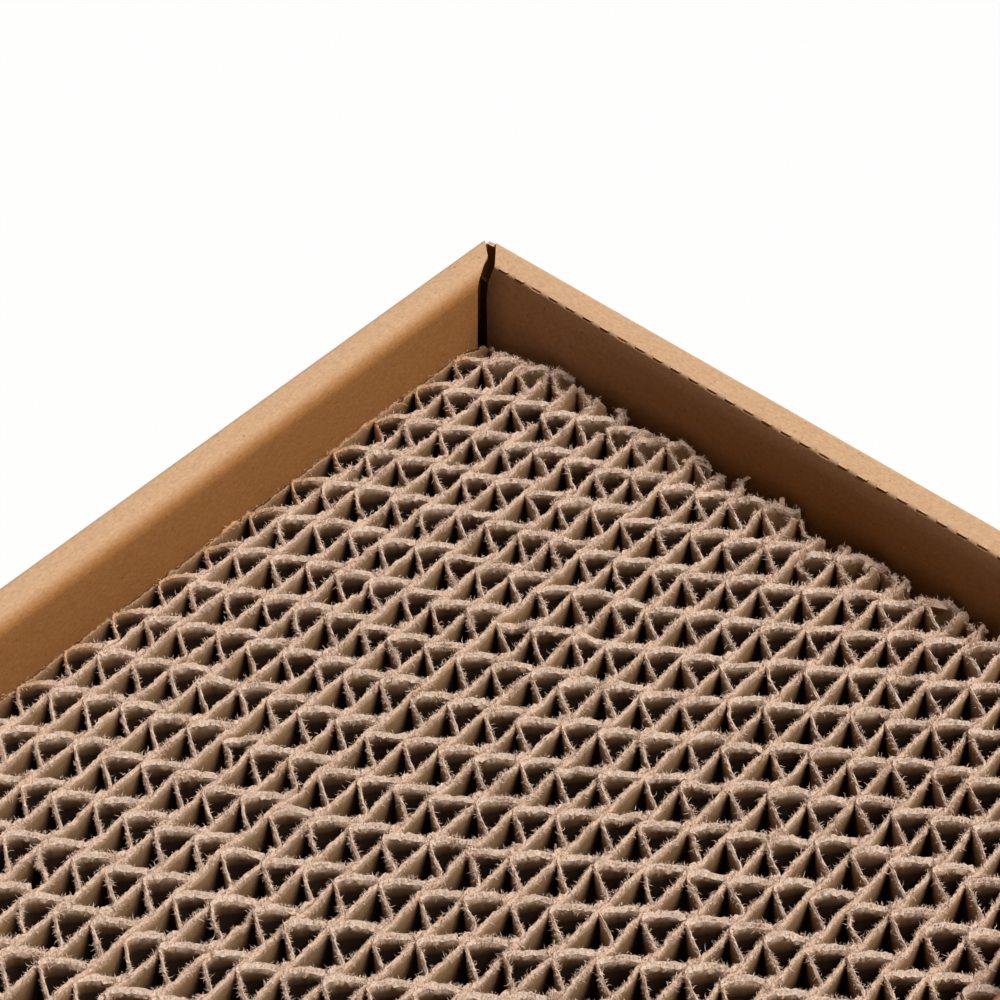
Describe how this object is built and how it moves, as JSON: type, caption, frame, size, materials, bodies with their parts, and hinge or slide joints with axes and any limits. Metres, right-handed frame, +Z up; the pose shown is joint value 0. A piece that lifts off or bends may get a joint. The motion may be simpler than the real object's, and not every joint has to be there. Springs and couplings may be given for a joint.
{
  "type": "cardboard cat scratcher",
  "caption": "Free-standing cat scratcher: a shallow folded kraft tray with a recessed, loose pad of corrugated cardboard strips standing on edge, flutes open upwards.",
  "frame": {"origin": "middle of the tray's underside, on the surface that it stands on", "axes": "+X along the tray's long side, +Y across it, +Z up out of the tray's open top"},
  "size_m": [0.42, 0.1262, 0.0476],
  "materials": {
    "kraft_board": "matte brown kraft",
    "corrugated_board": "matte recycled corrugated board with raw cut edges"
  },
  "bodies": {
    "tray": {"tray_base": "kraft_board", "long_wall_back": "kraft_board", "long_wall_front": "kraft_board", "end_wall_right": "kraft_board", "end_wall_left": "kraft_board", "corner_flap_back_right": "kraft_board", "corner_flap_back_left": "kraft_board", "corner_flap_front_right": "kraft_board", "corner_flap_front_left": "kraft_board"},
    "pad": {"strip_01": "corrugated_board", "strip_02": "corrugated_board", "strip_03": "corrugated_board", "strip_04": "corrugated_board", "strip_05": "corrugated_board", "strip_06": "corrugated_board", "strip_07": "corrugated_board", "strip_08": "corrugated_board", "strip_09": "corrugated_board", "strip_10": "corrugated_board", "strip_11": "corrugated_board", "strip_12": "corrugated_board", "strip_13": "corrugated_board", "strip_14": "corrugated_board", "strip_15": "corrugated_board", "strip_16": "corrugated_board", "strip_17": "corrugated_board", "strip_18": "corrugated_board", "strip_19": "corrugated_board", "strip_20": "corrugated_board", "strip_21": "corrugated_board", "strip_22": "corrugated_board", "strip_23": "corrugated_board", "strip_24": "corrugated_board", "strip_25": "corrugated_board", "strip_26": "corrugated_board", "strip_27": "corrugated_board", "strip_28": "corrugated_board", "closing_liner": "corrugated_board"}
  },
  "joints": [
    {"name": "pad_lift", "type": "slide", "parent": "tray", "child": "pad", "axis": [0, 0, 1], "range_m": [0, 0.06]}
  ]
}
